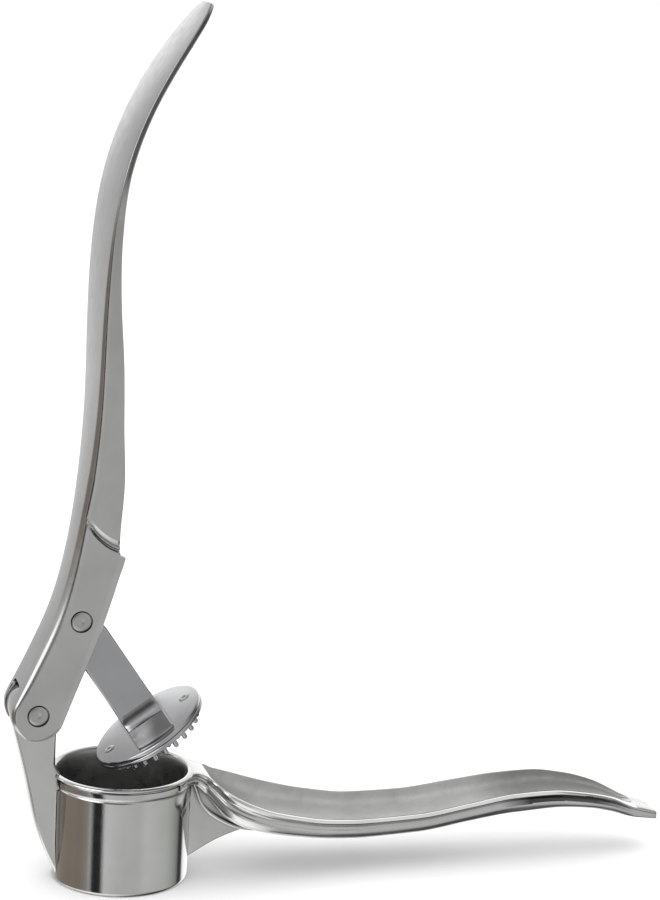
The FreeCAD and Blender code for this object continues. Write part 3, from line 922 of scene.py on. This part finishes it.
# What the metal reflects, by direction: level with the object, above it and below it, then the overhead
# level, then panels as (direction, reach in degrees, strength)
LEVEL = all_round([
    (-178, grey(1.45)), (-162, grey(1.0)), (-150, grey(0.66)), (-130, grey(0.58)), (-116, (0.35, 0.31, 0.27)),
    (-97, (0.30, 0.25, 0.21)), (-64, (0.28, 0.24, 0.21)), (-51, (0.34, 0.31, 0.28)), (-46, grey(0.52)),
    (-40, grey(0.03)), (-27, grey(0.03)), (-20, grey(0.78)), (-12, grey(0.74)), (10, grey(0.66)),
    (36, grey(0.62)), (50, grey(0.70)), (70, grey(0.67)), (90, grey(0.62)), (105, (0.46, 0.50, 0.44)),
    (118, grey(0.30)), (124, grey(0.05)), (134, grey(0.05)), (141, grey(1.3)), (165, grey(1.4))])
ABOVE = all_round([
    (-178, grey(1.35)), (-164, grey(1.5)), (-156, grey(1.5)), (-149, grey(0.66)), (-140, grey(0.60)),
    (-110, grey(0.70)), (-60, grey(0.70)), (-32, grey(0.45)), (-18, grey(0.12)), (12, grey(0.12)),
    (26, grey(0.60)), (60, grey(0.80)), (95, grey(0.36)), (112, grey(0.14)), (128, grey(0.3)),
    (145, grey(1.1)), (165, grey(1.35))])
BELOW = all_round([
    (-178, grey(0.95)), (-120, grey(1.4)), (-60, grey(1.7)), (0, grey(1.3)), (30, grey(0.8)), (60, grey(0.3)),
    (80, grey(0.08)), (120, grey(0.08)), (150, grey(0.6)), (170, grey(0.9))])
TOP = 0.70
PATCHES = [((-0.80, -0.32, 0.44), 26, 2.4), ((0.72, 0.08, 0.60), 30, 0.26), ((-0.58, 0.46, 0.68), 17, 2.0)]


def make_floor():
    """A plain pale floor, left out of what the metal reflects."""
    size = 7.0
    mesh = bpy.data.meshes.new("floor")
    around = np.linspace(0, 2 * math.pi, 64, endpoint=False)
    edge = [(size * math.cos(a), size * math.sin(a), -0.00002) for a in around]
    mesh.from_pydata(edge, [], [tuple(range(64))])
    floor = bpy.data.objects.new("floor", mesh)
    bpy.context.scene.collection.objects.link(floor)
    material = bpy.data.materials.new("pale_floor")
    material.use_nodes = True
    tree = material.node_tree
    shader = tree.nodes["Principled BSDF"]
    shader.inputs["Roughness"].default_value = 0.9
    where = tree.nodes.new("ShaderNodeTexCoord").outputs["Object"]
    colour = ramp(tree, noise(tree, where, 12.0, 3.0), [(0.3, grey(0.86)), (0.7, grey(0.88))])
    tree.links.new(colour, shader.inputs["Base Color"])
    mesh.materials.append(material)
    floor.visible_glossy = False


# ---------------------------------------------------------------- the scene

# Where painted shade darkens a colour: axis, start and end in mm, (share of the way, factor) stops
TRAY_SHADE = ("X", 95, 140, [(0.0, 1.0), (0.3, 0.68), (0.75, 0.66), (0.95, 0.95)])
GROOVE_SHADE = ("X", 98, 137, [(0.0, 1.0), (0.22, 0.12), (0.7, 0.2), (1.0, 1.0)])
LEVER_SHADE = ("Z", 130, 190, [(0.0, 1.0), (1.0, 0.72)])
PANEL_SHADE = ("X", 0.8, 9.2, [(0.0, 1.0), (0.3, 0.85), (0.6, 0.4), (1.0, 0.25)])

cast = cast_metal("cast_aluminium", 0.58, 0.10, 0.2)
handle = cast_metal("handle_aluminium", 0.58, 0.22, 0.4)
# The foot's panel is given a bright colour fading to dark along x: a painted reflection.
panel = cast_metal("panel_aluminium", 0.95, 0.42, 0.3, grime_and_shade=0.7, shade=PANEL_SHADE)
# The tray's colour is darkened over its far part as painted shade, standing for a dark reflection.
tray = cast_metal("tray_aluminium", 0.72, 0.60, 0.6, tint=(1.0, 1.0, 0.98), shade=TRAY_SHADE)
rim = cast_metal("rim_aluminium", 0.90, 0.16, 0.2)
# The groove's colour is darkened along the handle's far half as a painted dark reflection.
groove = cast_metal("groove_aluminium", 0.58, 0.12, 0.2, shade=GROOVE_SHADE)
# The darker colour inside the cup is painted shade; its higher roughness is the bore's own finish.
bore = cast_metal("bore_aluminium", 0.42, 0.34, 0.2, grime_and_shade=0.7)
# The lever's colour is darkened towards its top as painted shade, standing for a darker reflection on the
# tongue's back.
satin = cast_metal("lever_aluminium", 0.50, 0.19, 0.3, shade=LEVER_SHADE)
bright = cast_metal("plunger_aluminium", 0.42, 0.14, 0.2, tint=(0.98, 0.99, 1.0))
steel = cast_metal("pin_steel", 0.44, 0.32, 0.5)
sieve_steel = cast_metal("sieve_steel", 0.42, 0.35, 0.3)

casting = lower_casting()
dress(casting, cast, "cast_aluminium", "base", "lower_casting")
second_material(casting, handle, on_handle)
second_material(casting, rim, on_rim)
# The groove faces carry the painted dark reflection.
second_material(casting, groove, in_groove)
second_material(casting, tray, in_tray)
second_material(casting, bore, in_bore)
dress(lever(), satin, "lever_aluminium", "lever", "upper_handle")
dress(pin("main_pivot_pin_body", PIVOT), steel, "pin_steel", "lever", "main_pivot_pin")
dress(pin("plunger_pivot_pin_body", PLUNGER_PIN), steel, "pin_steel", "lever", "plunger_pivot_pin")
arm = plunger_arm()
dress(arm, bright, "plunger_aluminium", "plunger", "plunger_arm")
# The foot's panel carries the painted reflection.
second_material(arm, panel, on_panel)
dress(stud_plate(), bright, "stud_aluminium", "plunger", "stud_plate")
dress(rivet("head_rivet_left", -RIVET_OFFSET), steel, "pin_steel", "plunger", "head_rivets")
dress(rivet("head_rivet_right", RIVET_OFFSET), steel, "pin_steel", "plunger", "head_rivets")
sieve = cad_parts["sieve_plate"]
sieve.data.materials.clear()
sieve.data.materials.append(sieve_steel)

make_camera()
make_world()
make_floor()
make_light("overhead", (0.1, 0.0, 1.1), (0.05, 0, 0), (1.8, 1.8), 8.0)
bpy.context.scene.view_settings.view_transform = "Standard"
